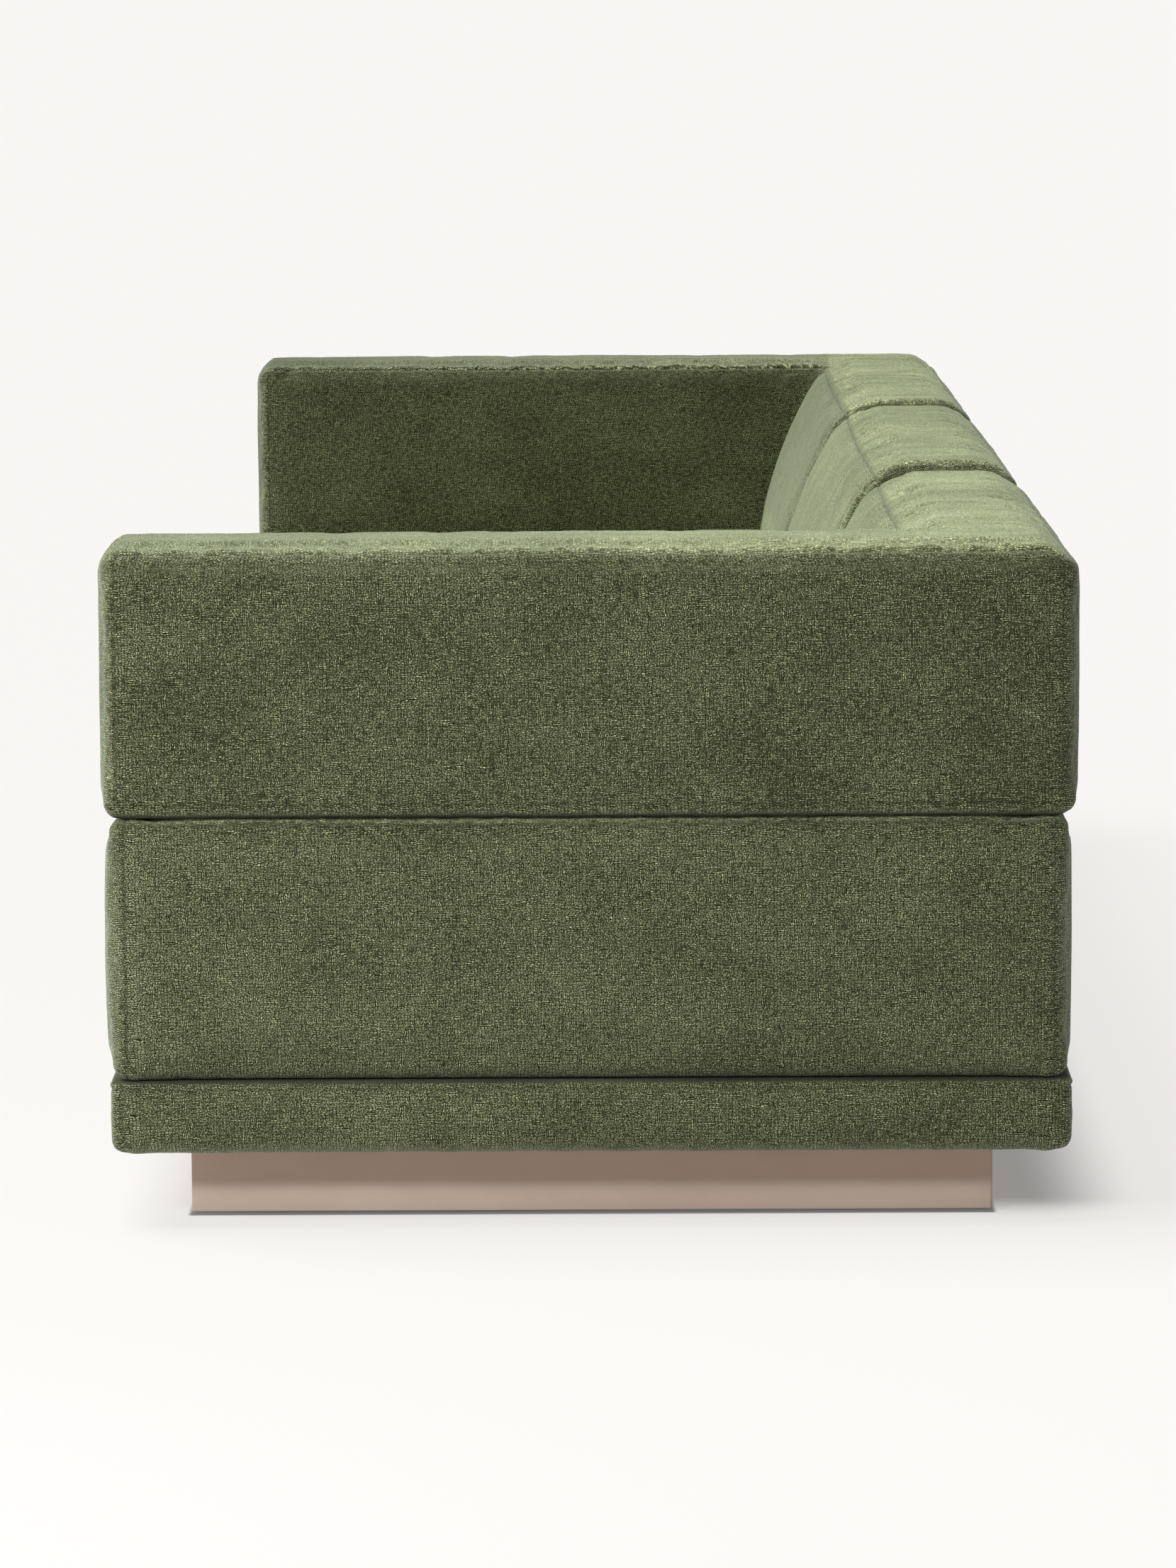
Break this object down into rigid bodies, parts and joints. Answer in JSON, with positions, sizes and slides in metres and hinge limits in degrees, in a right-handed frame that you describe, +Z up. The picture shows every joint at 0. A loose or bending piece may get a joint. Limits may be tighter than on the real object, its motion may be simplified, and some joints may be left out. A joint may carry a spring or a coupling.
{
  "type": "modular sofa",
  "caption": "Low modular sofa of upholstered blocks on recessed plinths, with sloped backs, arms at both ends, and modules and back units that lift apart.",
  "frame": {"origin": "centre of the footprint, on the floor", "axes": "+X along the sofa towards its right end seen from the front, +Y from the front to the back, +Z up"},
  "size_m": [3.0898, 1.0295, 0.7373],
  "materials": {
    "olive_chenille": "olive green chenille with a fine ribbed weave and a soft sheen",
    "plinth_lacquer": "satin lacquer on board, dusty beige",
    "timber": "planed softwood",
    "foam": "cut foam",
    "webbing": "woven elastic strap",
    "zinc_steel": "zinc plated",
    "felt_glide": "matt"
  },
  "bodies": {
    "middle_base": {"middle_glides": "felt_glide", "middle_plinth_front": "plinth_lacquer", "middle_plinth_rear": "plinth_lacquer", "middle_plinth_left_side": "plinth_lacquer", "middle_plinth_right_side": "plinth_lacquer", "middle_plinth_blocks": "timber", "middle_platform_frame": "timber", "middle_platform_cover": "olive_chenille", "middle_seat_frame": "timber", "middle_seat_webbing": "webbing", "middle_seat_foam": "foam", "middle_seat_cover": "olive_chenille", "middle_clamp_bolts": "zinc_steel", "middle_locating_posts": "zinc_steel", "left_connector_sockets": "zinc_steel", "right_connector_sockets": "zinc_steel"},
    "left_base": {"left_glides": "felt_glide", "left_plinth_front": "plinth_lacquer", "left_plinth_rear": "plinth_lacquer", "left_plinth_outer_side": "plinth_lacquer", "left_plinth_inner_side": "plinth_lacquer", "left_plinth_blocks": "timber", "left_platform_frame": "timber", "left_platform_cover": "olive_chenille", "left_seat_frame": "timber", "left_seat_webbing": "webbing", "left_seat_foam": "foam", "left_seat_cover": "olive_chenille", "left_clamp_bolts": "zinc_steel", "left_locating_posts": "zinc_steel", "left_connector_tongues": "zinc_steel"},
    "right_base": {"right_glides": "felt_glide", "right_plinth_front": "plinth_lacquer", "right_plinth_rear": "plinth_lacquer", "right_plinth_outer_side": "plinth_lacquer", "right_plinth_inner_side": "plinth_lacquer", "right_plinth_blocks": "timber", "right_platform_frame": "timber", "right_platform_cover": "olive_chenille", "right_seat_frame": "timber", "right_seat_webbing": "webbing", "right_seat_foam": "foam", "right_seat_cover": "olive_chenille", "right_clamp_bolts": "zinc_steel", "right_locating_posts": "zinc_steel", "right_connector_tongues": "zinc_steel"},
    "middle_unit": {"middle_unit_frame": "timber", "middle_unit_sleeves": "zinc_steel", "middle_unit_foam": "foam", "middle_unit_cover": "olive_chenille"},
    "left_unit": {"left_unit_frame": "timber", "left_unit_sleeves": "zinc_steel", "left_unit_foam": "foam", "left_unit_cover": "olive_chenille"},
    "right_unit": {"right_unit_frame": "timber", "right_unit_sleeves": "zinc_steel", "right_unit_foam": "foam", "right_unit_cover": "olive_chenille"}
  },
  "joints": [
    {"name": "left_module_lift", "type": "slide", "parent": "middle_base", "child": "left_base", "axis": [0, 0, 1], "range_m": [0, 0.04]},
    {"name": "right_module_lift", "type": "slide", "parent": "middle_base", "child": "right_base", "axis": [0, 0, 1], "range_m": [0, 0.04]},
    {"name": "left_unit_lift", "type": "slide", "parent": "left_base", "child": "left_unit", "axis": [0, 0, 1], "range_m": [0, 0.06]},
    {"name": "middle_unit_lift", "type": "slide", "parent": "middle_base", "child": "middle_unit", "axis": [0, 0, 1], "range_m": [0, 0.06]},
    {"name": "right_unit_lift", "type": "slide", "parent": "right_base", "child": "right_unit", "axis": [0, 0, 1], "range_m": [0, 0.06]}
  ]
}
